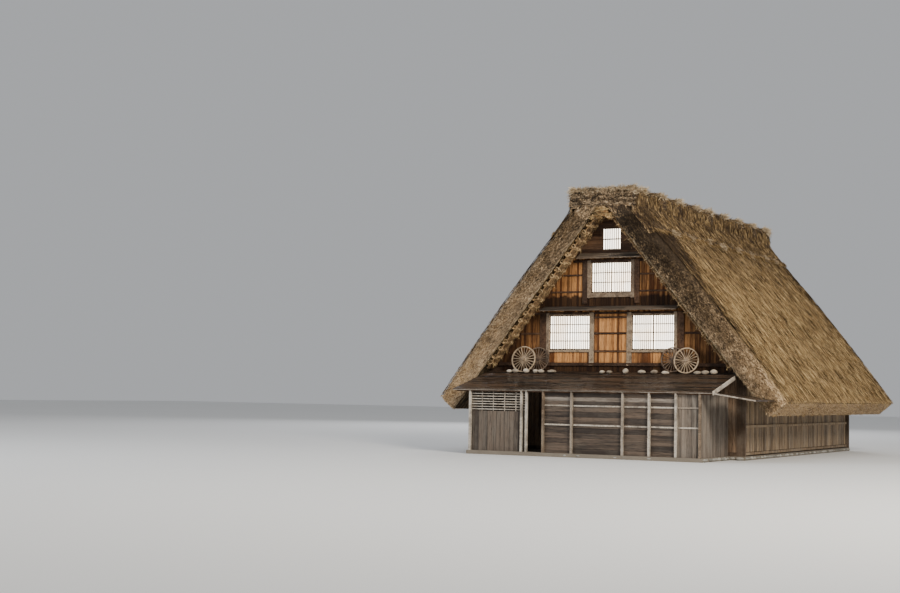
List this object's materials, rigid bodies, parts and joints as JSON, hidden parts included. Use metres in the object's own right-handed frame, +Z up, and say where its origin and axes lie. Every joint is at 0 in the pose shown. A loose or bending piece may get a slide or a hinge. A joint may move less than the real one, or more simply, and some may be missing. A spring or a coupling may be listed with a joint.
{
  "type": "thatched farmhouse",
  "caption": "Steep thatched farmhouse with a boarded gable, paper windows, pent ledges and a boarded lean-to porch across the front.",
  "frame": {"origin": "centre of the bounding box on the ground", "axes": "+Z up, -Y out of the front gable with the lean-to, +X to the right of someone who faces that gable, ridge along Y"},
  "size_m": [15.09, 19.62, 10.805],
  "materials": {
    "base_stone": "rough",
    "wall_boards": "weathered",
    "side_boards": "weathered",
    "floor_boards": "worn",
    "window_paper": "matte",
    "frame_timber": "weathered",
    "roof_poles": "rough",
    "thatch": "coarse straw",
    "ridge_thatch": "coarse straw",
    "lean_to_boards": "wet",
    "porch_timber": "weathered",
    "porch_boards": "weathered",
    "wheel_wood": "weathered"
  },
  "bodies": {
    "root": {"ground_floor": "base_stone", "front_ground_wall": "wall_boards", "back_ground_wall": "wall_boards", "left_side_wall": "side_boards", "right_side_wall": "side_boards", "first_attic_floor": "floor_boards", "second_attic_floor": "floor_boards", "third_attic_floor": "floor_boards", "front_lower_gable_wall": "wall_boards", "front_middle_gable_wall": "wall_boards", "front_top_gable_wall": "wall_boards", "front_lower_left_window": "window_paper", "front_lower_right_window": "window_paper", "front_middle_window": "window_paper", "front_top_window": "window_paper", "front_lower_frame": "frame_timber", "front_middle_frame": "frame_timber", "front_lower_ledge": "frame_timber", "front_upper_ledge": "frame_timber", "front_left_verge_poles": "roof_poles", "front_right_verge_poles": "roof_poles", "back_lower_gable_wall": "wall_boards", "back_middle_gable_wall": "wall_boards", "back_top_gable_wall": "wall_boards", "back_lower_left_window": "window_paper", "back_lower_right_window": "window_paper", "back_middle_window": "window_paper", "back_top_window": "window_paper", "back_lower_frame": "frame_timber", "back_middle_frame": "frame_timber", "back_lower_ledge": "frame_timber", "back_upper_ledge": "frame_timber", "back_left_verge_poles": "roof_poles", "back_right_verge_poles": "roof_poles", "left_thatch_slope": "thatch", "right_thatch_slope": "thatch", "ridge_cap": "ridge_thatch", "lean_to_roof": "lean_to_boards", "lean_to_rake_board": "porch_timber", "lean_to_wing": "lean_to_boards", "lean_to_frame": "porch_timber", "porch_panels": "porch_boards", "porch_left_end": "porch_boards", "lattice_screen": "porch_timber", "left_front_wheel": "wheel_wood", "left_rear_wheel": "wheel_wood", "right_front_wheel": "wheel_wood", "right_rear_wheel": "wheel_wood"}
  },
  "joints": []
}
